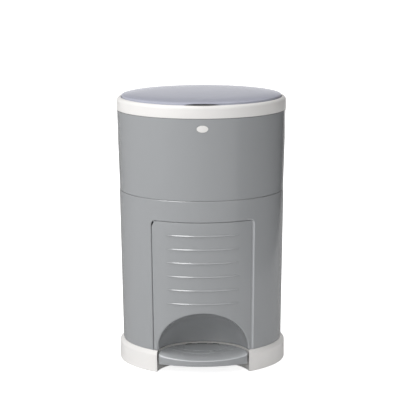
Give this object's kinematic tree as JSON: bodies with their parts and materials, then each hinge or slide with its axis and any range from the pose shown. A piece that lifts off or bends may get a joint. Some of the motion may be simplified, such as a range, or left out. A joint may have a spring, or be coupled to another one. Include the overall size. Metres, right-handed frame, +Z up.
{
  "type": "pedal nappy bin",
  "caption": "Round pedal bin for nappies with a domed lid, trap flaps, a refill ring under a tilting top and a ribbed front door over the foot recess.",
  "frame": {"origin": "centre of the bin's footprint on the floor", "axes": "+Z up, -Y towards the front with the door and pedal, +X to the viewer's right"},
  "size_m": [0.326, 0.326, 0.5192],
  "materials": {
    "body_plastic": "glossy moulded",
    "white_plastic": "satin moulded",
    "lid_plastic": "glossy moulded",
    "inner_plastic": "matte moulded",
    "refill_plastic": "matte moulded",
    "lever_steel": "plated pressing",
    "steel": "drawn",
    "rubber": "moulded"
  },
  "bodies": {
    "base": {"base_skirt": "white_plastic", "rubber_feet": "rubber", "lower_body": "body_plastic", "body_screws": "steel", "cassette_tray": "inner_plastic", "locating_ring": "inner_plastic", "refill_cassette": "refill_plastic", "rod_channel": "inner_plastic", "cutter_housing": "white_plastic", "cutter_blade": "steel", "tilt_hinge_pin": "steel"},
    "door": {"front_door": "body_plastic", "door_hinge_pins": "steel", "door_catch": "white_plastic"},
    "pedal": {"pedal_tread": "body_plastic", "pedal_lever": "lever_steel", "pedal_axle": "steel", "tread_screws": "steel"},
    "lower_rod": {"lower_push_rod": "steel", "spring_collar": "inner_plastic", "return_spring": "steel"},
    "top_unit": {"upper_body": "body_plastic", "badge": "white_plastic", "top_rim": "white_plastic", "funnel": "inner_plastic", "hinge_deck": "inner_plastic", "throat_seal": "rubber", "flap_frame": "inner_plastic", "frame_screws": "steel", "lid_hinge_pin": "steel"},
    "lift_rod": {"upper_push_rod": "steel", "yoke_bar": "lever_steel"},
    "lid": {"lid_shell": "lid_plastic", "lid_liner": "inner_plastic", "lid_gasket": "rubber", "crank_pin": "steel"},
    "left_trap": {"flap_left": "inner_plastic", "flap_seal_left": "rubber", "flap_shaft_left": "steel"},
    "right_trap": {"flap_right": "inner_plastic", "flap_seal_right": "rubber", "flap_shaft_right": "steel"}
  },
  "joints": [
    {"name": "pedal_press", "type": "hinge", "parent": "base", "child": "pedal", "pos_m": [0, -0.0185, 0.022], "axis": [1, 0, 0], "range_deg": [0, 6.5], "stiffness_Nm_per_rad": 6, "springref_deg": -8.59},
    {"name": "door_swing", "type": "hinge", "parent": "base", "child": "door", "pos_m": [-0.0862, -0.12129, 0.041], "axis": [0.0097, 0.0137, -0.9999], "range_deg": [0, 70]},
    {"name": "top_tilt", "type": "hinge", "parent": "base", "child": "top_unit", "pos_m": [0, 0.1585, 0.333], "axis": [-1, 0, 0], "range_deg": [0, 80]},
    {"name": "lower_rod_slide", "type": "slide", "parent": "base", "child": "lower_rod", "axis": [0, 0, 1], "range_m": [0, 0.01765], "deforming": ["return_spring"]},
    {"name": "lift_rod_slide", "type": "slide", "parent": "top_unit", "child": "lift_rod", "axis": [0, 0, 1], "range_m": [0, 0.01765]},
    {"name": "lid_swing", "type": "hinge", "parent": "top_unit", "child": "lid", "pos_m": [0, 0.15, 0.5075], "axis": [-1, 0, 0], "range_deg": [0, 75.01]},
    {"name": "left_flap_swing", "type": "hinge", "parent": "top_unit", "child": "left_trap", "pos_m": [-0.066, 0, 0.349], "axis": [0, 1, 0], "range_deg": [0, 75.01]},
    {"name": "right_flap_swing", "type": "hinge", "parent": "top_unit", "child": "right_trap", "pos_m": [0.066, 0, 0.349], "axis": [0, -1, 0], "range_deg": [0, 75.01]}
  ],
  "couplings": [
    {"joint": "lower_rod_slide", "follows": "pedal_press", "m_per_rad": 0.1555},
    {"joint": "lift_rod_slide", "follows": "pedal_press", "m_per_rad": 0.1555},
    {"joint": "lid_swing", "follows": "pedal_press", "ratio": 11.539},
    {"joint": "left_flap_swing", "follows": "pedal_press", "ratio": 11.539},
    {"joint": "right_flap_swing", "follows": "pedal_press", "ratio": 11.539}
  ]
}
